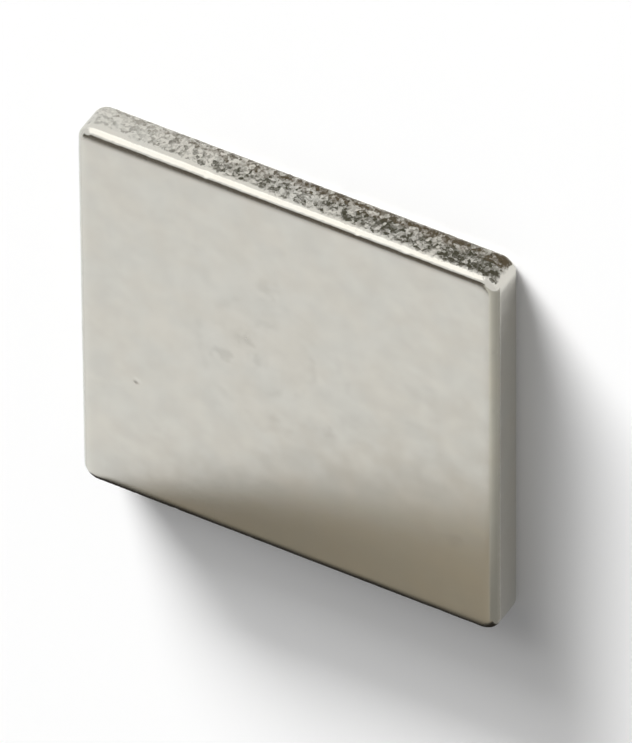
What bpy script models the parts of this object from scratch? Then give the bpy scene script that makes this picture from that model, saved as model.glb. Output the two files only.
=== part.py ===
"""A thin square block magnet: one plate of sintered neodymium magnet, nickel plated all over.

The plate is sliced from a sintered block, tumbled and then plated, so it is one piece. The tumbling
has rounded its four upright corners and the rim round each pole face. It lies on one pole face and
is magnetised through its thickness, along Z. The origin is the centre of the face that it lies on.
All sizes are in metres.
"""

import bmesh
import bpy
from mathutils import Matrix, Vector

# Driving dimensions of the plated plate
POLE_FACE_WIDTH = 0.010
POLE_FACE_LENGTH = 0.010
THICKNESS = 0.001

# Rounding left by the tumbling: the four upright corners, and the rim round each pole face
CORNER_RADIUS = 0.0004
RIM_RADIUS = 0.00018

# Facets in each rounded quarter circle, and the bevel profile that makes it circular
ROUND_SEGMENTS = 6
ROUND_PROFILE = 0.5

# Nickel plating: linear colour, roughness and metallic value
NICKEL_COLOUR = (0.60, 0.565, 0.51, 1.0)
NICKEL_ROUGHNESS = 0.3
NICKEL_METALLIC = 1.0


def clear_scene():
    """Removes whatever the scene holds, so that the file can be run again."""
    for old in list(bpy.data.objects):
        bpy.data.objects.remove(old)


def nickel_plating():
    """The satin plating that covers the whole plate."""
    material = bpy.data.materials.new("nickel_plating")
    material.use_nodes = True
    shader = material.node_tree.nodes["Principled BSDF"]
    shader.inputs["Base Color"].default_value = NICKEL_COLOUR
    shader.inputs["Roughness"].default_value = NICKEL_ROUGHNESS
    shader.inputs["Metallic"].default_value = NICKEL_METALLIC
    material.diffuse_color = NICKEL_COLOUR
    return material


def is_pole_face(face):
    """True for a face that looks up or down rather than sideways."""
    return abs(face.normal.z) > face.normal.xy.length


def upright_edges(mesh):
    """The edges where two sides of the plate meet."""
    return [edge for edge in mesh.edges if not any(map(is_pole_face, edge.link_faces))]


def rim_edges(mesh):
    """The edges round both pole faces."""
    return [edge for edge in mesh.edges if any(map(is_pole_face, edge.link_faces))]


def cut_plate(mesh):
    """The plate as it is sliced: square on every edge, lying on the ground plane."""
    size = Vector((POLE_FACE_WIDTH, POLE_FACE_LENGTH, THICKNESS))
    place = Matrix.Translation((0.0, 0.0, THICKNESS / 2))
    bmesh.ops.create_cube(mesh, size=1.0, matrix=place @ Matrix.Diagonal(size.to_4d()))
    mesh.normal_update()


def round_off(mesh, edges, radius):
    """Rounds the edges to a quarter circle of this radius."""
    bmesh.ops.bevel(
        mesh,
        geom=edges,
        offset=radius,
        offset_type="OFFSET",
        segments=ROUND_SEGMENTS,
        profile=ROUND_PROFILE,
        affect="EDGES",
        clamp_overlap=True,
        material=-1,
    )
    mesh.normal_update()


def tumbled_plate():
    """The finished plate: first the four corners are rounded, and then both rims round them."""
    mesh = bmesh.new()
    cut_plate(mesh)
    round_off(mesh, upright_edges(mesh), CORNER_RADIUS)
    round_off(mesh, rim_edges(mesh), RIM_RADIUS)
    data = bpy.data.meshes.new("block_magnet")
    mesh.to_mesh(data)
    mesh.free()
    data.shade_smooth()
    return data


def make_magnet():
    """Adds the plate to the scene, with its plating and with flat faces that shade flat."""
    magnet = bpy.data.objects.new("block_magnet", tumbled_plate())
    magnet.data.materials.append(nickel_plating())
    magnet.modifiers.new("faces_shade_flat", "WEIGHTED_NORMAL")
    bpy.context.scene.collection.objects.link(magnet)


clear_scene()
make_magnet()
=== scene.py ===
"""Dresses the block magnet: a thin square plate of sintered magnet, nickel plated and tumbled.

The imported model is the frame. The plate is modelled again with the surface that the real one has:
two sides that keep the grain of the sintered block under the plating, two that were ground, rims
worn smooth by the tumbling, and flat pole faces with a trace of handling. It lies on a pale floor,
in plain soft studio light. The camera looks down on it, and sees it as the photograph does.
"""

import logging
import math
import random
from dataclasses import dataclass, field
from enum import Enum
from typing import Any

import bmesh
import bpy
from mathutils import Matrix, Vector, noise


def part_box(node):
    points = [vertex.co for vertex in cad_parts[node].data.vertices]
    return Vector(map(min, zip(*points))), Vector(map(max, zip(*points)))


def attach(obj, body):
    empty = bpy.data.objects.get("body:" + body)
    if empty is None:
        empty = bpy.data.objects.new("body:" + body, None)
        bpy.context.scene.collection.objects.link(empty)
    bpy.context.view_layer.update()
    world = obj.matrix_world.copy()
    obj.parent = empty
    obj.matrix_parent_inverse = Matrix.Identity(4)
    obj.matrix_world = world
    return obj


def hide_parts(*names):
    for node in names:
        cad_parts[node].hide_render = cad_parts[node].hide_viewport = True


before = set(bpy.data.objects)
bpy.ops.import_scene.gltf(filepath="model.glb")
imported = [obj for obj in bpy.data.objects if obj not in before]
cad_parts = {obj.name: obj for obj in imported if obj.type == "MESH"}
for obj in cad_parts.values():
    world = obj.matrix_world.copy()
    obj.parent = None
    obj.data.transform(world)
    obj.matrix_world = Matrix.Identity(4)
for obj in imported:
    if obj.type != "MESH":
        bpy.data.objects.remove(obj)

LOG = logging.getLogger("block_magnet")

MM = 0.001
MICRON = 0.000001

# The photograph's longer side in pixels, which the sensor's width belongs to
FRAME_HEIGHT = 743
SENSOR_WIDTH_MM = 36.0

WHITE = (1.0, 1.0, 1.0)
BLACK = (0.0, 0.0, 0.0)

# The range that nearly all of a noise's values lie in
NOISE_SPAN = (0.3, 0.7)

# Where the noises are read from, in millimetres: round their own centre they show streaks
NOISE_SHIFT = (37.0, 53.0, 19.0)

# The bevel profile of a true quarter circle
ROUND_PROFILE = 0.5

# Points nearer to a cutting plane than this, in metres, count as on it
ON_PLANE = 1e-8

# The upright part of a normal, past which a face is a flat part of a pole face
FLAT_NORMAL = 0.9999

# A level edge's ends differ less than this in height
LEVEL = 1 * MICRON

Colour = tuple[float, float, float]

Pair = tuple[float, float]


class SideWork(Enum):
    """How a narrow side was made, with the share of the sintered grain that still shows on it."""

    SAWN = 1.0
    GROUND = 0.08


class Place(Enum):
    """Where on the plate a dent lies."""

    UPPER_POLE = "upper pole face"
    RIM = "rim"


class Gloss(Enum):
    """Whether a lamp shows in the plating, or only lights what is dull."""

    SHOWS = True
    HIDDEN = False


class Detail(Enum):
    """How many finer layers a noise has."""

    COARSE = 2.0
    USUAL = 3.0
    FINE = 4.0


class LampShape(Enum):
    """A lamp's outline, by the name that the area lamp has for it: an oval has the softer shadow."""

    OBLONG = "RECTANGLE"
    OVAL = "ELLIPSE"

    def area(self, width: float, height: float) -> float:
        """The area inside the outline."""
        return width * height * (math.pi / 4 if self is LampShape.OVAL else 1.0)


def smooth_step(low: float, high: float, value: float) -> float:
    """Rises smoothly from 0 at low to 1 at high, which may be the smaller one.

    Args:
        low: the value where the rise starts.
        high: the value where it ends.
        value: the value asked about.

    Returns:
        A share from 0 to 1.
    """
    share = min(1.0, max(0.0, (value - low) / (high - low)))
    return share * share * (3.0 - 2.0 * share)


def unit_noise(place: Vector, length: float) -> float:
    """A smooth noise from 0 to 1, whose hills and hollows are about this length across."""
    return 0.5 + 0.5 * noise.noise(place / length)


def rgba(colour: Colour) -> tuple[float, float, float, float]:
    """The colour with full opacity."""
    return (*colour, 1.0)


class Wiring:
    """Adds shader nodes to one node tree and joins them."""

    def __init__(self, tree: bpy.types.NodeTree) -> None:
        """Empties the tree and takes it as the one to work on.

        Args:
            tree: the node tree of a material or a world.
        """
        self.tree = tree
        tree.nodes.clear()

    def add(self, kind: str, settings: dict[str, Any] | None = None, **inputs: Any) -> bpy.types.Node:
        """Adds one node.

        Args:
            kind: the node's type, without the ShaderNode in front.
            settings: the node's own properties, such as an operation.
            inputs: a value or an output socket for each input, with underscores for spaces.

        Returns:
            The new node.
        """
        node = self.tree.nodes.new("ShaderNode" + kind)
        for name, value in (settings or {}).items():
            setattr(node, name, value)
        for name, value in inputs.items():
            self.feed(node.inputs[name.replace("_", " ")], value)
        return node

    def feed(self, socket: bpy.types.NodeSocket, value: Any) -> None:
        """Joins an output to an input, or sets the input's own value.

        Args:
            socket: the input.
            value: an output socket, a number or a tuple of numbers.
        """
        if isinstance(value, bpy.types.NodeSocket):
            self.tree.links.new(value, socket)
        else:
            socket.default_value = value

    def maths(self, operation: str, first: Any, second: Any = 0.0) -> bpy.types.NodeSocket:
        """Adds a Math node.

        Args:
            operation: the node's operation, such as MULTIPLY.
            first: its first value or socket.
            second: its second one, where the operation has one.

        Returns:
            The node's output.
        """
        node = self.add("Math", {"operation": operation})
        self.feed(node.inputs[0], first)
        self.feed(node.inputs[1], second)
        return node.outputs[0]

    def spread(
        self, value: Any, low: float, high: float, to_low: float = 0.0, to_high: float = 1.0
    ) -> bpy.types.NodeSocket:
        """Maps a range smoothly onto another one, held at both ends.

        Args:
            value: the socket to map.
            low: the value that becomes to_low.
            high: the value that becomes to_high.
            to_low: the result at low.
            to_high: the result at high.

        Returns:
            The output socket.
        """
        node = self.add("MapRange", {"interpolation_type": "SMOOTHSTEP"}, Value=value)
        names = ("From Min", "From Max", "To Min", "To Max")
        for name, number in zip(names, (low, high, to_low, to_high)):
            node.inputs[name].default_value = number
        return node.outputs["Result"]

    def total(self, *terms: Any) -> Any:
        """Adds up numbers.

        Args:
            terms: at least two sockets or numbers.

        Returns:
            The sum's output.
        """
        result = terms[0]
        for term in terms[1:]:
            result = self.maths("ADD", result, term)
        return result

    def vector_maths(self, operation: str, first: Any, second: Any) -> bpy.types.Node:
        """Adds a Vector Math node.

        Args:
            operation: the node's operation, such as DISTANCE.
            first: its first vector or socket.
            second: its second one.

        Returns:
            The new node.
        """
        node = self.add("VectorMath", {"operation": operation})
        self.feed(node.inputs[0], first)
        self.feed(node.inputs[1], second)
        return node

    def cloud(self, where: Any, per_mm: float, detail: Detail = Detail.USUAL) -> Any:
        """Adds a noise that is read at millimetre coordinates.

        Args:
            where: the coordinates, in millimetres.
            per_mm: how many blotches there are in a millimetre.
            detail: how fine the noise gets.

        Returns:
            The noise value, about 0.5 in the middle.
        """
        shifted = self.vector_maths("ADD", where, NOISE_SHIFT).outputs["Vector"]
        return self.add("TexNoise", Vector=shifted, Scale=per_mm, Detail=detail.value).outputs["Fac"]

    def drift(
        self, where: Any, per_mm: float, low: float = 0.0, high: float = 1.0, detail: Detail = Detail.USUAL
    ) -> Any:
        """Adds a noise that wanders over a whole range.

        Args:
            where: the coordinates, in millimetres.
            per_mm: how many blotches there are in a millimetre.
            low: the lowest result.
            high: the highest result.
            detail: how fine the noise gets.

        Returns:
            The value, from low to high.
        """
        return self.spread(self.cloud(where, per_mm, detail), *NOISE_SPAN, low, high)

    def blend(self, share: Any, first: Any, second: Any) -> Any:
        """Mixes two colours.

        Args:
            share: how much of the second is used.
            first: the colour or socket at share 0.
            second: the colour or socket at share 1.

        Returns:
            The colour output.
        """
        node = self.add("Mix", {"data_type": "RGBA"})
        colours = [socket for socket in node.inputs if socket.type == "RGBA"]
        self.feed(node.inputs[0], share)
        self.feed(colours[0], first)
        self.feed(colours[1], second)
        return next(socket for socket in node.outputs if socket.type == "RGBA")

    def distance(self, where: Any, place: tuple[float, float, float]) -> Any:
        """Measures how far a point is from a place.

        Args:
            where: the coordinates.
            place: the place, in the same units.

        Returns:
            The distance's output.
        """
        return self.vector_maths("DISTANCE", where, place).outputs["Value"]

    def seen(self) -> Any:
        """Tells the rays that show a thing from those that carry its light.

        Returns:
            A value of 1 for camera, glossy and transmission rays, and of 0 for others.
        """
        rays = self.add("LightPath").outputs
        mirrored = self.maths("MAXIMUM", rays["Is Glossy Ray"], rays["Is Transmission Ray"])
        return self.maths("MAXIMUM", mirrored, rays["Is Camera Ray"])


@dataclass(frozen=True)
class Smudge:
    """A faint mark on the upper pole face, in millimetres: a spot, or an arc if it has a ring radius."""

    place: tuple[float, float, float]
    reach: float
    strength: float
    ring: float = 0.0
    stray: float = 0.35
    strays_per_mm: float = 4.0
    gaps_per_mm: float = 1.6
    gap_span: Pair = (0.45, 0.60)

    def share(self, wiring: Wiring, where: Any) -> Any:
        """How strong the mark is at a point.

        Args:
            wiring: where the nodes go.
            where: coordinates in millimetres.

        Returns:
            The share, from 0 to the mark's strength.
        """
        stray = self.stray * self.reach
        ragged = wiring.drift(where, self.strays_per_mm, -stray, stray)
        away = wiring.total(wiring.distance(where, self.place), -self.ring, ragged)
        if not self.ring:
            return wiring.spread(away, self.reach, 0.0, 0.0, self.strength)
        near = wiring.spread(wiring.maths("ABSOLUTE", away), self.reach, 0.0, 0.0, self.strength)
        gaps = wiring.spread(wiring.cloud(where, self.gaps_per_mm, Detail.COARSE), *self.gap_span)
        return wiring.maths("MULTIPLY", near, gaps)


@dataclass(frozen=True)
class NickelPlating:
    """Satin nickel over a tumbled sintered surface: fine on the pole faces, grainy on sawn sides."""

    # The bare metal, and how much darker a rim is painted, as painted shade that dims its highlight, over
    # which the share of a side goes from 0 to 1
    tone: Colour = (0.665, 0.642, 0.580)
    cool_tone: Colour = (0.653, 0.641, 0.589)
    tones_per_mm: float = 0.9
    rim_painted_shade: float = 0.10
    rim_shade_from: Pair = (0.0, 0.1)
    rim_shade_to: Pair = (0.9, 1.0)

    # The pits of a sawn side, whose dark colour is partly the grain's own and partly painted shade,
    # browner towards its foot as painted shade
    pit_and_shade_dark: Colour = (0.066, 0.062, 0.043)
    pit_and_shade_brown: Colour = (0.092, 0.073, 0.047)
    stains_per_mm: float = 4.0
    stain_span: Pair = (0.4, 0.7)
    foot_shade_heights: Pair = (0.15, 0.60)
    foot_shade_gain: Pair = (0.30, -0.20)

    # Each grain's own darkness: for each layer, the grains in a millimetre and its weight
    grain_layers: tuple[Pair, ...] = ((11.0, 0.6), (19.0, 0.4))
    grain_soft: Pair = (0.05, 0.95)

    # What makes more grains dark: painted shade growing along the side towards +X, at its +X end and at
    # its foot, random patches and the grain; painted light thins them towards −X
    painted_shading_run: Pair = (-6.0, 4.5)
    painted_shading_drift: Pair = (-0.14, 0.19)
    painted_shade_end: Pair = (4.0, 4.9)
    painted_shade_end_gain: float = 0.16
    painted_shade_foot: Pair = (0.22, 0.42)
    painted_shade_foot_gain: float = 0.08
    painted_light_run: Pair = (-5.0, -1.0)
    painted_light_share: float = 0.6
    patches_per_mm: float = 2.2
    patch_gain: float = 0.08
    pit_onset: float = 0.75
    pit_threshold: Pair = (0.10, 0.25)

    # Roughness, and the shares of a side between which it changes
    face_roughness: float = 0.23
    rim_roughness: float = 0.14
    side_roughness: float = 0.24
    smooth_from: Pair = (0.0, 0.2)
    smooth_to: Pair = (0.8, 1.0)
    roughness_drift: float = 0.02
    roughness_per_mm: float = 1.4

    # Relief that is finer than the mesh
    peel_per_mm: float = 5.0
    peel_height: float = 0.15 * MICRON
    relief_per_mm: float = 17.0
    relief_height: float = 6.0 * MICRON

    # What handling has left on the upper pole face
    film_per_mm: float = 2.6
    film_strength: float = 0.016
    film_roughness: float = 0.4
    smudges: tuple[Smudge, ...] = (
        Smudge((-0.44, 2.45, 1.0), 0.34, 0.055),
        Smudge((-0.98, 0.75, 1.0), 0.28, 0.080),
        Smudge((-1.52, 0.13, 1.0), 0.34, 0.080),
        Smudge((-0.69, 0.25, 1.0), 0.28, 0.060),
        Smudge((1.03, -0.96, 1.0), 0.20, 0.05),
        Smudge((-0.25, -1.19, 1.0), 0.20, 0.04),
        Smudge((3.96, -2.66, 1.0), 0.28, 0.05),
        Smudge((-0.30, 0.50, 1.0), 0.16, 0.030, 0.95),
        Smudge((-0.30, 0.30, 1.0), 0.20, 0.022, 1.75),
    )

    def material(self) -> bpy.types.Material:
        """Makes the plating's material.

        Returns:
            A metal whose colour, roughness and relief change over the plate.
        """
        material = bpy.data.materials.new("nickel_plating")
        material.use_nodes = True
        wiring = Wiring(material.node_tree)
        place = wiring.add("TexCoord").outputs["Object"]
        where = wiring.add("Mapping", Vector=place, Scale=(1 / MM, 1 / MM, 1 / MM)).outputs[0]
        side = wiring.add("Attribute", {"attribute_name": "side_share"}).outputs["Fac"]
        grain = wiring.add("Attribute", {"attribute_name": "grain_share"}).outputs["Fac"]
        film = self.film(wiring, where)
        shader = wiring.add(
            "BsdfPrincipled",
            Base_Color=self.colour(wiring, where, side, grain, film),
            Metallic=1.0,
            Roughness=self.roughness(wiring, where, side, grain, film),
            Normal=self.relief(wiring, where, grain),
        )
        wiring.add("OutputMaterial", Surface=shader.outputs["BSDF"])
        return material

    def film(self, wiring: Wiring, where: Any) -> Any:
        """The faint film all over the plate, and the smudges on its upper pole face.

        Args:
            wiring: where the nodes go.
            where: coordinates in millimetres.

        Returns:
            Their strength, from 0 to about 0.1.
        """
        film = wiring.drift(where, self.film_per_mm, 0.0, self.film_strength)
        return wiring.total(film, *(smudge.share(wiring, where) for smudge in self.smudges))

    def colour(self, wiring: Wiring, where: Any, side: Any, grain: Any, film: Any) -> Any:
        """The metal's colour, with the rims painted a little darker as painted shade that dims their
        highlight.

        Args:
            wiring: where the nodes go.
            where: coordinates in millimetres.
            side: 0 on the pole faces, 1 on the sides.
            grain: how grainy the surface is, from 0 to 1.
            film: the handling film's strength.

        Returns:
            The colour socket.
        """
        coolness = wiring.drift(where, self.tones_per_mm)
        metal = wiring.blend(coolness, rgba(self.tone), rgba(self.cool_tone))
        # Painted shade: the rims are drawn a little darker to dim their highlight; the handling film
        # darkens the metal too
        inner = wiring.spread(side, *self.rim_shade_from, 0.0, self.rim_painted_shade)
        worn = wiring.maths("MULTIPLY", inner, wiring.spread(side, *self.rim_shade_to, 1.0, 0.0))
        metal = wiring.blend(wiring.maths("ADD", film, worn), metal, rgba(BLACK))
        # Painted shade: the stains get browner and darker towards the foot of the side
        height = wiring.add("SeparateXYZ", Vector=where).outputs["Z"]
        low = wiring.spread(height, *self.foot_shade_heights, *self.foot_shade_gain)
        stain = wiring.spread(wiring.total(wiring.cloud(where, self.stains_per_mm), low), *self.stain_span)
        pits = wiring.blend(stain, rgba(self.pit_and_shade_dark), rgba(self.pit_and_shade_brown))
        return wiring.blend(self.pepper_and_shade(wiring, where, grain), metal, pits)

    def pepper_and_shade(self, wiring: Wiring, where: Any, grain: Any) -> Any:
        """How dark each grain of a sawn side is: the grain is its own, painted shade makes more grains
        dark towards the +X end and at the foot, and painted light makes fewer dark towards −X.

        Args:
            wiring: where the nodes go.
            where: coordinates in millimetres.
            grain: how grainy the surface is, from 0 to 1.

        Returns:
            The share of the pits' colour, from 0 to 1.
        """
        parts = wiring.add("SeparateXYZ", Vector=where).outputs
        onset = wiring.maths("MULTIPLY", wiring.maths("SUBTRACT", grain, 1.0), self.pit_onset)
        # Painted shade and light: more dark grains towards +X, at the +X end and at the foot, fewer
        # towards −X
        share = wiring.total(
            onset,
            wiring.spread(parts["X"], *self.painted_shading_run, *self.painted_shading_drift),
            wiring.spread(parts["X"], *self.painted_shade_end, 0.0, self.painted_shade_end_gain),
            wiring.spread(parts["Z"], *self.painted_shade_foot, self.painted_shade_foot_gain, 0.0),
            wiring.drift(where, self.patches_per_mm, -self.patch_gain, self.patch_gain, Detail.COARSE),
        )
        for per_mm, weight in self.grain_layers:
            grains = wiring.add("TexVoronoi", Vector=where, Scale=per_mm)
            own = wiring.add("SeparateColor", Color=grains.outputs["Color"]).outputs[0]
            share = wiring.total(share, wiring.maths("MULTIPLY", own, weight))
        share = wiring.spread(share, *self.grain_soft)
        # Painted light: fewer dark grains towards the −X end
        faint = wiring.spread(parts["X"], *self.painted_light_run, self.painted_light_share, 1.0)
        share = wiring.maths("MULTIPLY", share, faint)
        return wiring.maths("MULTIPLY", share, wiring.spread(grain, *self.pit_threshold))

    def roughness(self, wiring: Wiring, where: Any, side: Any, grain: Any, film: Any) -> Any:
        """How satin the metal is.

        Args:
            wiring: where the nodes go.
            where: coordinates in millimetres.
            side: 0 on the pole faces, 1 on the sides.
            grain: how grainy the surface is, from 0 to 1.
            film: the handling film's strength.

        Returns:
            The roughness socket.
        """
        uneven = wiring.drift(where, self.roughness_per_mm, -self.roughness_drift, self.roughness_drift)
        rim = wiring.spread(side, *self.smooth_from, self.face_roughness, self.rim_roughness)
        flat = wiring.spread(side, *self.smooth_to, 0.0, self.side_roughness - self.rim_roughness)
        return wiring.total(rim, flat, uneven, wiring.maths("MULTIPLY", film, self.film_roughness))

    def relief(self, wiring: Wiring, where: Any, grain: Any) -> Any:
        """The relief that is finer than the mesh.

        Args:
            wiring: where the nodes go.
            where: coordinates in millimetres.
            grain: how grainy the surface is, from 0 to 1.

        Returns:
            The normal socket.
        """
        swell = wiring.cloud(where, self.peel_per_mm, Detail.FINE)
        peel = wiring.add("Bump", Height=swell, Distance=self.peel_height)
        grains = wiring.maths("MULTIPLY", wiring.cloud(where, self.relief_per_mm, Detail.FINE), grain)
        rough = wiring.add(
            "Bump", Height=grains, Distance=self.relief_height, Normal=peel.outputs["Normal"]
        )
        return rough.outputs["Normal"]


@dataclass(frozen=True)
class SinterGrain:
    """The relief that sintered grains leave on a sawn side, all of it below the plate's full size.

    Each grain has its own level and leans its own way, and a crevice runs round it, as wide as a share
    of the grain. The two shuffles make a grain's level and its lean differ from each other.
    """

    size: float = 85 * MICRON
    crevice: float = 8 * MICRON
    crevice_width: float = 0.4
    step: float = 7 * MICRON
    tilt: float = 20 * MICRON
    fine: float = 4 * MICRON
    fine_size: float = 40 * MICRON
    level_shuffle: float = 7.31
    tilt_shuffle: float = 3.17

    def depth_at(self, place: Vector) -> float:
        """How deep the relief lies at a point.

        Args:
            place: the point, in metres.

        Returns:
            The depth, in metres.
        """
        spot = place / self.size
        distances, seeds = noise.voronoi(spot)
        border = 1.0 - smooth_step(0.0, self.crevice_width, distances[1] - distances[0])
        level = 0.5 + 0.5 * noise.cell(seeds[0] * self.level_shuffle)
        lean = noise.cell_vector(seeds[0] * self.tilt_shuffle).dot(spot - seeds[0])
        rough = unit_noise(place, self.fine_size)
        depth = self.crevice * border + self.step * level + self.tilt * lean + self.fine * rough
        return max(0.0, depth)


@dataclass(frozen=True)
class Dent:
    """A small round hollow knocked into the plate."""

    where: Place
    centre: Vector
    radius: float
    depth: float

    def depth_at(self, point: Vector) -> float:
        """How far the dent lowers the surface at a point.

        Args:
            point: the point on the undented surface, in metres.

        Returns:
            The depth in metres, 0 outside the dent.
        """
        reach = (point - self.centre).length / self.radius
        return self.depth * (1.0 - reach * reach) ** 2 if reach < 1.0 else 0.0


@dataclass
class TumbledPlate:
    """The one plate, in the box and with the roundings of the solid that it stands for."""

    node: str = "block_magnet"
    name: str = "plated_plate"

    # Roundings, as on the solid
    corner_radius: float = 0.4 * MM
    rim_radius: float = 0.18 * MM
    corner_segments: int = 24
    rim_segments: int = 10

    # Cells of the pole faces, the rims and the sides
    face_cells: int = 73
    face_margin: float = 0.05 * MM
    cuts_along: int = 4
    cuts_up: int = 24

    # How a pole face falls away at its border, and by how much more at one end of its far border
    border_cuts: tuple[float, ...] = (0.03 * MM, 0.065 * MM, 0.105 * MM, 0.15 * MM)
    border_width: float = 0.15 * MM
    border_depth: float = 7.2 * MICRON
    border_taper: float = 0.7
    taper_along: Pair = (0.3, -1.0)
    taper_across: Pair = (0.85, 0.95)

    # Waves of the pole faces, and the lean of a normal past which a point is no longer on one
    wave_depth: float = 0.8 * MICRON
    wave_length: float = 1.6 * MM
    wave_onset: Pair = (0.0, 0.3 * MM)
    rim_lean: float = 0.02

    # Wear and scuffs of the rims
    wear_depth: float = 6.0 * MICRON
    wear_length: float = 0.35 * MM
    scuff_depth: float = 5.0 * MICRON
    scuff_length: float = 0.09 * MM
    ground_scuff: float = 0.4

    # How far a normal leans for a side's finish and grain, and faces along Y for a sawn side's grain
    side_lean: Pair = (0.05, 0.98)
    grain_lean: float = 0.5
    sawn_turn: Pair = (0.3, 0.8)

    # Heights above and below the middle plane where the grain ends, and how that line strays
    grain_fade: Pair = (0.40 * MM, 0.25 * MM)
    grain_fade_below: Pair = (0.50 * MM, 0.44 * MM)
    grain_stray: float = 0.05 * MM
    grain_stray_length: float = 0.15 * MM
    grain_slope: float = 0.010

    # Dents of the tumbling: their inset as a share of the rim radius, and their sizes in micrometres
    dent_count: int = 26
    dent_seed: int = 24
    dent_inset: float = 0.3
    dent_reach: float = 0.92
    dent_radii: Pair = (60.0, 120.0)
    dent_depths: Pair = (5.0, 11.0)

    # A pinhole and a nick: their places from the middle, and the nick's height from the lower face
    pinhole_place: Pair = (-3.6 * MM, -1.6 * MM)
    pinhole_radius: float = 110 * MICRON
    pinhole_depth: float = 6.5 * MICRON
    nick_along: float = -0.35 * MM
    nick_height: float = 0.1 * MM
    nick_radius: float = 90 * MICRON
    nick_depth: float = 20 * MICRON

    # Finer cells round a mark: how many of its radii they reach, and how many cuts an edge gets
    mark_reach: float = 2.0
    mark_cuts: int = 5

    grain: SinterGrain = field(default_factory=SinterGrain)
    plating: NickelPlating = field(default_factory=NickelPlating)

    def __post_init__(self) -> None:
        """Reads the plate's box from the frame."""
        self.low, self.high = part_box(self.node)
        self.centre = (self.low + self.high) / 2
        self.half = (self.high - self.low) / 2

    def build(self) -> bpy.types.Object:
        """Makes the plate and puts it in the place of its solid.

        Returns:
            The finished piece.
        """
        mesh = bmesh.new()
        self.cut_blank(mesh)
        self.round_edges(mesh, self.upright_edges(mesh), self.corner_radius, self.corner_segments)
        self.round_edges(mesh, self.rim_edges(mesh), self.rim_radius, self.rim_segments)
        self.lay_cells(mesh)
        self.divide_sides(mesh)
        dents = self.marks() + self.tumbling_dents()
        self.refine_marks(mesh, dents)
        self.work_surface(mesh, dents)
        data = bpy.data.meshes.new(self.name)
        mesh.to_mesh(data)
        mesh.free()
        data.shade_smooth()
        data.materials.append(self.plating.material())
        plate = bpy.data.objects.new(self.name, data)
        bpy.context.scene.collection.objects.link(plate)
        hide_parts(self.node)
        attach(plate, "root")
        return plate

    def cut_blank(self, mesh: bmesh.types.BMesh) -> None:
        """Fills the solid's box with a square-edged block.

        Args:
            mesh: the empty mesh to work on.
        """
        size = Matrix.Diagonal((2 * self.half).to_4d())
        bmesh.ops.create_cube(mesh, size=1.0, matrix=Matrix.Translation(self.centre) @ size)
        mesh.normal_update()

    @staticmethod
    def is_pole(face: bmesh.types.BMFace) -> bool:
        """True for a face that looks straight up or down."""
        return abs(face.normal.z) > FLAT_NORMAL

    def upright_edges(self, mesh: bmesh.types.BMesh) -> list[bmesh.types.BMEdge]:
        """The edges where two sides meet."""
        return [edge for edge in mesh.edges if not any(map(self.is_pole, edge.link_faces))]

    def rim_edges(self, mesh: bmesh.types.BMesh) -> list[bmesh.types.BMEdge]:
        """The edges round both pole faces."""
        return [edge for edge in mesh.edges if any(map(self.is_pole, edge.link_faces))]

    @staticmethod
    def round_edges(
        mesh: bmesh.types.BMesh, edges: list[bmesh.types.BMEdge], radius: float, segments: int
    ) -> None:
        """Rounds edges to a quarter circle.

        Args:
            mesh: the mesh to work on.
            edges: the edges to round.
            radius: the rounding's radius, in metres.
            segments: how many facets it gets.
        """
        bmesh.ops.bevel(
            mesh, geom=edges, offset=radius, offset_type="OFFSET", segments=segments,
            profile=ROUND_PROFILE, affect="EDGES", clamp_overlap=True, material=-1,
        )
        mesh.normal_update()

    def lay_cells(self, mesh: bmesh.types.BMesh) -> None:
        """Cuts the plate across in both directions, so that the pole faces become a grid.

        Args:
            mesh: the mesh to work on.
        """
        for axis in (Vector((1, 0, 0)), Vector((0, 1, 0))):
            reach = self.half.dot(axis) - self.corner_radius - self.face_margin
            places = [reach * (2 * step / self.face_cells - 1) for step in range(self.face_cells + 1)]
            for cut in self.border_cuts:
                edge = self.half.dot(axis) - self.rim_radius - cut
                places += [-edge, edge]
            for place in places:
                everything = mesh.verts[:] + mesh.edges[:] + mesh.faces[:]
                bmesh.ops.bisect_plane(
                    mesh,
                    geom=everything,
                    dist=ON_PLANE,
                    plane_co=self.centre + axis * place,
                    plane_no=axis,
                )
        mesh.normal_update()

    def divide_sides(self, mesh: bmesh.types.BMesh) -> None:
        """Divides the rims and the sides into cells that are finer than the grain.

        Args:
            mesh: the mesh to work on.
        """
        cell = 2 * (self.half.x - self.corner_radius - self.face_margin) / self.face_cells
        level = [
            edge for edge in mesh.edges
            if abs(edge.verts[0].co.z - edge.verts[1].co.z) < LEVEL
            and not all(map(self.is_pole, edge.link_faces))
            and edge.calc_length() > cell / 2
        ]
        bmesh.ops.subdivide_edges(mesh, edges=level, cuts=self.cuts_along, use_grid_fill=True)
        upright = [
            edge for edge in mesh.edges
            if abs(edge.verts[0].co.z - edge.verts[1].co.z) > self.rim_radius
        ]
        bmesh.ops.subdivide_edges(mesh, edges=upright, cuts=self.cuts_up, use_grid_fill=True)
        mesh.normal_update()

    def marks(self) -> list[Dent]:
        """The marks that this plate has.

        Returns:
            A pinhole on the upper pole face and a nick on the lower rim.
        """
        along, across = self.pinhole_place
        pinhole = Vector((self.centre.x + along, self.centre.y + across, self.high.z))
        nick = Vector((self.high.x, self.centre.y + self.nick_along, self.low.z + self.nick_height))
        return [
            Dent(Place.UPPER_POLE, pinhole, self.pinhole_radius, self.pinhole_depth),
            Dent(Place.RIM, nick, self.nick_radius, self.nick_depth),
        ]

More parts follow.
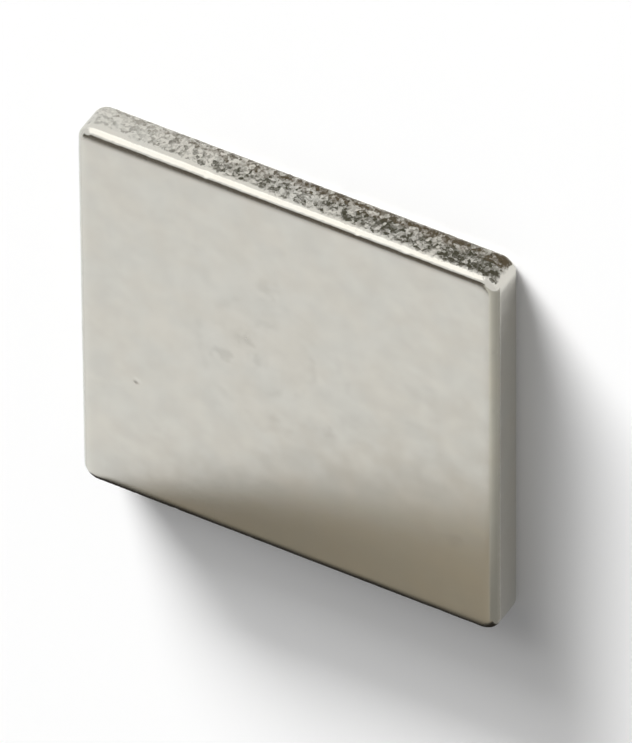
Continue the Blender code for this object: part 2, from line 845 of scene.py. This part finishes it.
    def tumbling_dents(self) -> list[Dent]:
        """Small dents that the tumbling has left along the rims.

        Returns:
            The dents, the same ones in each run.
        """
        draw = random.Random(self.dent_seed)
        reach = self.half - Vector((1, 1, 1)) * self.dent_inset * self.rim_radius
        dents = []
        for _ in range(self.dent_count):
            shares = [draw.uniform(-self.dent_reach, self.dent_reach), draw.choice((-1.0, 1.0))]
            draw.shuffle(shares)
            offset = Vector((shares[0] * reach.x, shares[1] * reach.y, draw.choice((-1.0, 1.0)) * reach.z))
            radius = draw.uniform(*self.dent_radii) * MICRON
            depth = draw.uniform(*self.dent_depths) * MICRON
            dents.append(Dent(Place.RIM, self.centre + offset, radius, depth))
        return dents

    def lies_near(self, face: bmesh.types.BMFace, dent: Dent) -> bool:
        """True for a face whose middle lies within the reach of finer cells round a dent."""
        return (face.calc_center_median() - dent.centre).length < self.mark_reach * dent.radius

    def refine_marks(self, mesh: bmesh.types.BMesh, dents: list[Dent]) -> None:
        """Gives the pole face finer cells round each dent in it.

        Args:
            mesh: the mesh to work on.
            dents: all the dents.
        """
        for dent in dents:
            if dent.where is Place.UPPER_POLE:
                near = [
                    edge for edge in mesh.edges
                    if any(self.lies_near(face, dent) for face in edge.link_faces)
                ]
                bmesh.ops.subdivide_edges(mesh, edges=near, cuts=self.mark_cuts, use_grid_fill=True)
        mesh.normal_update()

    def work_surface(self, mesh: bmesh.types.BMesh, dents: list[Dent]) -> None:
        """Lowers each point into the plate by the grain, the wear, the waves and the dents.

        Args:
            mesh: the mesh to work on.
            dents: all the dents.
        """
        side_layer = mesh.verts.layers.float.new("side_share")
        grain_layer = mesh.verts.layers.float.new("grain_share")
        moves = []
        for vert in mesh.verts:
            side = smooth_step(*self.side_lean, vert.normal.xy.length)
            grain = self.grain_share(vert)
            vert[side_layer] = side
            vert[grain_layer] = grain
            depth = grain * self.grain.depth_at(vert.co) if grain > 0.0 else 0.0
            depth += self.worn_depth(vert) + sum(dent.depth_at(vert.co) for dent in dents)
            moves.append(vert.normal * -depth + self.border_move(vert.co))
        for vert, move in zip(mesh.verts, moves):
            vert.co += move
        mesh.normal_update()

    def grain_share(self, vert: bmesh.types.BMVert) -> float:
        """How much of the sintered grain shows at a point: it is worn away towards the rims.

        Args:
            vert: the point, on the plain rounded plate.

        Returns:
            The share, from 0 to 1.
        """
        lean = vert.normal.xy.length
        if lean < self.grain_lean:
            return 0.0
        sawn = smooth_step(*self.sawn_turn, (vert.normal.y / lean) ** 2)
        share = SideWork.GROUND.value + (SideWork.SAWN.value - SideWork.GROUND.value) * sawn
        stray = self.grain_stray * noise.noise(vert.co / self.grain_stray_length)
        height = vert.co.z - self.centre.z - self.grain_slope * vert.co.x + stray
        return share * smooth_step(*self.grain_fade, height) * smooth_step(*self.grain_fade_below, -height)

    def worn_depth(self, vert: bmesh.types.BMVert) -> float:
        """How far the tumbling has lowered a point: most halfway round a rim, a little on a pole face.

        Args:
            vert: the point, on the plain rounded plate.

        Returns:
            The depth in metres.
        """
        lean = vert.normal.xy.length
        if lean > self.rim_lean:
            wear = self.wear_depth * unit_noise(vert.co, self.wear_length)
            scuff = self.ground_scuff + (1.0 - self.ground_scuff) * (vert.normal.y / lean) ** 2
            wear += scuff * self.scuff_depth * unit_noise(vert.co, self.scuff_length)
            return wear * 2.0 * lean * abs(vert.normal.z)
        offset = vert.co - self.centre
        from_rim = min(self.half.x - abs(offset.x), self.half.y - abs(offset.y)) - self.rim_radius
        wave = unit_noise(vert.co, self.wave_length)
        return self.wave_depth * wave * smooth_step(*self.wave_onset, from_rim)

    def border_move(self, place: Vector) -> Vector:
        """How the tumbling has let the border of a pole face fall away towards its rim.

        Args:
            place: the point, on the plain rounded plate.

        Returns:
            The move towards the plate's middle plane.
        """
        offset = place - self.centre
        beyond = [abs(offset.x) - self.half.x, abs(offset.y) - self.half.y]
        past_corner = Vector([max(0.0, part + self.corner_radius) for part in beyond])
        inset = self.corner_radius - past_corner.length - min(0.0, max(beyond) + self.corner_radius)
        share = 1.0 - (inset - self.rim_radius) / self.border_width
        if share <= 0.0:
            return Vector((0.0, 0.0, 0.0))
        fall = share * share if share < 1.0 else 2.0 * share - 1.0
        taper = self.border_taper * smooth_step(*self.taper_along, offset.x / self.half.x)
        depth = self.border_depth * (1.0 + taper * smooth_step(*self.taper_across, offset.y / self.half.y))
        return Vector((0.0, 0.0, -depth * fall * offset.z / self.half.z))


@dataclass(frozen=True)
class FloorPaper:
    """Matt white paper, which the camera and the plating see a little brighter than it lights."""

    paper: Colour = (0.93, 0.93, 0.93)
    lift: float = 0.065

    def material(self) -> bpy.types.Material:
        """Makes the paper's material.

        Returns:
            A dull white with a small lift for the rays that show it.
        """
        material = bpy.data.materials.new("floor_paper")
        material.use_nodes = True
        wiring = Wiring(material.node_tree)
        dull = wiring.add("BsdfDiffuse", Color=rgba(self.paper))
        lifted = wiring.add("Emission", Strength=wiring.maths("MULTIPLY", wiring.seen(), self.lift))
        both = wiring.add("AddShader")
        wiring.feed(both.inputs[0], dull.outputs[0])
        wiring.feed(both.inputs[1], lifted.outputs[0])
        wiring.add("OutputMaterial", Surface=both.outputs[0])
        return material


@dataclass
class Floor:
    """The pale sheet that the plate lies on."""

    radius: float = 3.0
    segments: int = 96
    drop: float = 2 * MICRON
    finish: FloorPaper = field(default_factory=FloorPaper)

    def build(self) -> bpy.types.Object:
        """Lays the floor just under the plate.

        Returns:
            The floor.
        """
        mesh = bmesh.new()
        bmesh.ops.create_circle(mesh, cap_ends=True, radius=self.radius, segments=self.segments)
        bmesh.ops.translate(mesh, verts=mesh.verts[:], vec=(0.0, 0.0, -self.drop))
        data = bpy.data.meshes.new("floor")
        mesh.to_mesh(data)
        mesh.free()
        data.materials.append(self.finish.material())
        floor = bpy.data.objects.new("floor", data)
        bpy.context.scene.collection.objects.link(floor)
        return floor


@dataclass(frozen=True)
class CardShadePaint:
    """A glowing warm grey, darker towards the floor, and towards one end where it has a fade there:
    painted shade, which the plating shows as a shadowed floor.
    """

    foot_tone: float
    top_tone: float
    fade: Pair
    tint: Colour = (1.0, 0.89, 0.70)
    end_fade: Pair | None = None
    end_slope: float = 0.8

    def material(self, name: str) -> bpy.types.Material:
        """Makes the paint's material.

        Args:
            name: the material's name.

        Returns:
            A glowing tone that doesn't depend on the lamps: painted shade.
        """
        material = bpy.data.materials.new(name)
        material.use_nodes = True
        wiring = Wiring(material.node_tree)
        place = wiring.add("TexCoord").outputs["Object"]
        parts = wiring.add("SeparateXYZ", Vector=place).outputs
        tone = wiring.spread(parts["Z"], *self.fade, 0.0, self.top_tone - self.foot_tone)
        if self.end_fade:
            along = wiring.maths("ADD", parts["Y"], wiring.maths("MULTIPLY", parts["Z"], self.end_slope))
            tone = wiring.maths("MULTIPLY", tone, wiring.spread(along, *self.end_fade))
        tone = wiring.maths("ADD", tone, self.foot_tone)
        paint = wiring.add("Emission", Color=rgba(self.tint), Strength=tone)
        wiring.add("OutputMaterial", Surface=paint.outputs[0])
        return material


@dataclass
class StandingCard:
    """A card that only the plating shows: it stands on the floor beside the plate, and glows with painted
    shade, which the plating shows as the reflection of a shadowed floor.

    Its upper edge runs through the points of top, and its foot lies straight below it, moved along X by
    the lean.
    """

    name: str
    top: tuple[Vector, ...]
    paint: CardShadePaint
    lean: float = 0.0

    def build(self) -> bpy.types.Object:
        """Stands the card on the floor.

        Returns:
            The card, which only glossy rays see.
        """
        mesh = bmesh.new()
        corners = [mesh.verts.new(corner) for corner in self.top]
        top = [mesh.edges.new(ends) for ends in zip(corners, corners[1:])]
        grown = bmesh.ops.extrude_edge_only(mesh, edges=top)["geom"]
        foot = [part for part in grown if isinstance(part, bmesh.types.BMVert)]
        bmesh.ops.scale(mesh, verts=foot, vec=(1.0, 1.0, 0.0))
        bmesh.ops.translate(mesh, verts=foot, vec=(self.lean, 0.0, 0.0))
        data = bpy.data.meshes.new(self.name)
        mesh.to_mesh(data)
        mesh.free()
        data.materials.append(self.paint.material(self.name))
        card = bpy.data.objects.new(self.name, data)
        card.visible_camera = False
        card.visible_diffuse = False
        card.visible_shadow = False
        bpy.context.scene.collection.objects.link(card)
        return card


@dataclass
class Softbox:
    """An area lamp that is aimed at the plate.

    Its half width and half height are angles in degrees, from its middle to its edge as the plate sees
    it. A lamp with a radiance of 1 shows as plain white.
    """

    name: str
    towards: Vector
    half_width: float
    half_height: float
    radiance: float
    gloss: Gloss
    shape: LampShape = LampShape.OVAL
    colour: Colour = WHITE
    distance: float = 3.0

    def build(self) -> bpy.types.Object:
        """Hangs the lamp.

        Returns:
            The lamp's object.
        """
        angles = (math.radians(self.half_width), math.radians(self.half_height))
        width, height = (2 * self.distance * math.tan(angle) for angle in angles)
        lamp = bpy.data.lights.new(self.name, "AREA")
        lamp.shape = self.shape.value
        lamp.size = width
        lamp.size_y = height
        lamp.energy = self.radiance * math.pi * self.shape.area(width, height)
        lamp.color = self.colour
        holder = bpy.data.objects.new(self.name, lamp)
        direction = self.towards.normalized()
        holder.location = direction * self.distance
        holder.rotation_mode = "QUATERNION"
        holder.rotation_quaternion = direction.to_track_quat("Z", "Y")
        holder.visible_glossy = self.gloss.value
        bpy.context.scene.collection.objects.link(holder)
        return holder


# Two cards stand in front of the plate, and one at its right leans over it. Their painted shade gives the
# face its darker lower part, the lower rim its dark line and the right side its darker tone
CARDS = (
    StandingCard(
        name="front_card",
        top=(
            Vector((-5.5, -6.85, 2.72)) * MM,
            Vector((-2.66, -8.17, 5.82)) * MM,
            Vector((9.22, -13.8, 16.45)) * MM,
        ),
        paint=CardShadePaint(foot_tone=0.245, top_tone=0.42, fade=(3.5 * MM, 8.5 * MM)),
    ),
    StandingCard(
        name="low_card",
        top=(
            Vector((-5.5, -6.2, 1.62)) * MM,
            Vector((-4.5, -6.2, 2.42)) * MM,
            Vector((5.6, -6.2, 2.42)) * MM,
        ),
        paint=CardShadePaint(foot_tone=0.02, top_tone=0.40, fade=(1.87 * MM, 2.42 * MM)),
        lean=-0.3 * MM,
    ),
    StandingCard(
        name="side_card",
        top=(Vector((3.0, -18.0, 12.0)) * MM, Vector((3.0, 4.5, 12.0)) * MM),
        paint=CardShadePaint(
            foot_tone=0.29,
            top_tone=0.74,
            fade=(-0.8 * MM, 4.0 * MM),
            tint=(1.0, 0.985, 0.91),
            end_fade=(-4.0 * MM, 1.5 * MM),
        ),
        lean=3.2 * MM,
    ),
)

# The key shows in the plating. The other three, each lower than the last, give the long soft shadow
SOFTBOXES = (
    Softbox(
        name="key_softbox",
        towards=Vector((-0.45, 0.68, 0.48)),
        half_width=21.0,
        half_height=25.0,
        radiance=0.72,
        gloss=Gloss.SHOWS,
        shape=LampShape.OBLONG,
        colour=(1.0, 0.985, 0.95),
    ),
    Softbox(
        name="broad_lamp",
        towards=Vector((-0.45, 0.74, 0.50)),
        half_width=25.0,
        half_height=9.2,
        radiance=2.6,
        gloss=Gloss.HIDDEN,
    ),
    Softbox(
        name="middle_lamp",
        towards=Vector((-0.46, 0.87, 0.29)),
        half_width=17.0,
        half_height=5.4,
        radiance=19.4,
        gloss=Gloss.HIDDEN,
    ),
    Softbox(
        name="low_lamp",
        towards=Vector((-0.46, 0.88, 0.155)),
        half_width=17.0,
        half_height=3.9,
        radiance=167.0,
        gloss=Gloss.HIDDEN,
    ),
)


@dataclass
class StudioRoom:
    """The white room that the plating shows, with a dark panel overhead.

    The fill is the share of the room's light that falls on what is dull. The panel's rises and its edge
    are angles in degrees round the X axis, from +Y upwards, and its span, end, bend and flare are places
    or lengths along X in a ray's direction. To the left of the bend the panel starts at the corner rise,
    and to the right of the flare it ends at the flare rise.
    """

    fill: float = 0.16
    panel_rise: Pair = (81.2, 125.7)
    panel_corner_rise: float = 99.2
    panel_edge: float = 4.0
    panel_span: Pair = (-0.85, -0.08)
    panel_end: float = 0.06
    panel_bend: Pair = (-0.61, -0.47)
    panel_flare: Pair = (-0.346, -0.326)
    panel_flare_rise: float = 128.7
    panel_tone: Colour = (0.11, 0.095, 0.075)

    def build(self) -> bpy.types.World:
        """Makes the world.

        Returns:
            The world, set on the scene.
        """
        world = bpy.data.worlds.new("studio_room")
        bpy.context.scene.world = world
        world.use_nodes = True
        wiring = Wiring(world.node_tree)
        rays = wiring.add("LightPath").outputs
        direction = wiring.add("TexCoord").outputs["Generated"]
        hidden = wiring.maths("MULTIPLY", rays["Is Glossy Ray"], self.panel(wiring, direction))
        colour = wiring.blend(hidden, rgba(WHITE), rgba(self.panel_tone))
        beyond_paper = wiring.maths("MINIMUM", rays["Diffuse Depth"], 1.0)
        strength = wiring.spread(beyond_paper, 0.0, 1.0, 1.0, self.fill)
        sky = wiring.add("Background", Color=colour, Strength=strength)
        wiring.add("OutputWorld", Surface=sky.outputs[0])
        return world

    def panel(self, wiring: Wiring, direction: Any) -> Any:
        """The dark panel overhead, which the upper rim shows as a thin dark line.

        Args:
            wiring: where the nodes go.
            direction: the direction of the ray.

        Returns:
            1 on the panel and 0 beside it.
        """
        parts = wiring.add("SeparateXYZ", Vector=direction).outputs
        rise = wiring.maths("DEGREES", wiring.maths("ARCTAN2", parts["Z"], parts["Y"]))
        first, last = self.panel_rise
        left, right = self.panel_span
        start = wiring.spread(parts["X"], *self.panel_bend, self.panel_corner_rise, first)
        inside = wiring.spread(wiring.maths("SUBTRACT", rise, start), -self.panel_edge, 0.0)
        flare = wiring.spread(parts["X"], *self.panel_flare, last, self.panel_flare_rise)
        for end in (
            wiring.spread(wiring.maths("SUBTRACT", rise, flare), 0.0, self.panel_edge, 1.0, 0.0),
            wiring.spread(parts["X"], left - self.panel_end, left),
            wiring.spread(parts["X"], right, right + self.panel_end, 1.0, 0.0),
        ):
            inside = wiring.maths("MULTIPLY", inside, end)
        return inside


@dataclass
class Viewpoint:
    """The camera: it sees the plate as the photograph does, which shows it standing on edge.

    The angles are in degrees, round a plate that stands, and the tip turns the camera with the plate as
    it is laid down. The plate shows larger than in the photograph, by the enlargement. The aim is how far
    the camera is moved to its right and upwards. It sees nothing nearer than the nearest share of its
    distance.
    """

    azimuth: float = 29.8
    elevation: float = 43.05
    roll: float = -0.49
    tip: float = -90.0
    distance: float = 436.3 * MM
    focal_pixels: float = 9535.7
    enlargement: float = 2.2
    aim: Pair = (0.374 * MM, -0.078 * MM)
    nearest_share: float = 0.1
    furthest: float = 20.0

    def build(self, centre: Vector) -> bpy.types.Object:
        """Places the camera.

        Args:
            centre: the plate's centre.

        Returns:
            The camera, set on the scene.
        """
        data = bpy.data.cameras.new("viewpoint")
        data.sensor_width = SENSOR_WIDTH_MM
        data.lens = SENSOR_WIDTH_MM * self.focal_pixels * self.enlargement / FRAME_HEIGHT
        data.clip_start = self.nearest_share * self.distance
        data.clip_end = self.furthest
        camera = bpy.data.objects.new("viewpoint", data)
        azimuth, elevation = math.radians(self.azimuth), math.radians(self.elevation)
        back = Vector(
            (
                math.sin(azimuth) * math.cos(elevation),
                -math.cos(azimuth) * math.cos(elevation),
                math.sin(elevation),
            )
        )
        turn = back.to_track_quat("Z", "Y").to_matrix() @ Matrix.Rotation(math.radians(self.roll), 3, "Z")
        laid_down = Matrix.Rotation(math.radians(self.tip), 3, "X") @ turn
        right, up, backwards = laid_down.col
        place = centre + backwards * self.distance + right * self.aim[0] + up * self.aim[1]
        camera.matrix_world = Matrix.Translation(place) @ laid_down.to_4x4()
        bpy.context.scene.collection.objects.link(camera)
        bpy.context.scene.camera = camera
        return camera


def main() -> None:
    """Builds the plate and the studio round it, and reports each piece."""
    logging.basicConfig(level=logging.INFO, format="%(message)s")
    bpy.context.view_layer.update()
    bpy.context.scene.view_settings.view_transform = "Standard"
    plate = TumbledPlate()
    camera = Viewpoint().build(plate.centre)
    LOG.info("camera: lens %.0f mm", camera.data.lens)
    piece = plate.build()
    LOG.info("%s: %d faces", piece.name, len(piece.data.polygons))
    LOG.info("stage: %s", Floor().build().name)
    for card in CARDS:
        LOG.info("stage: %s", card.build().name)
    StudioRoom().build()
    for softbox in SOFTBOXES:
        LOG.info("%s: %.1f m away", softbox.build().name, softbox.distance)


if __name__ == "__main__":
    main()
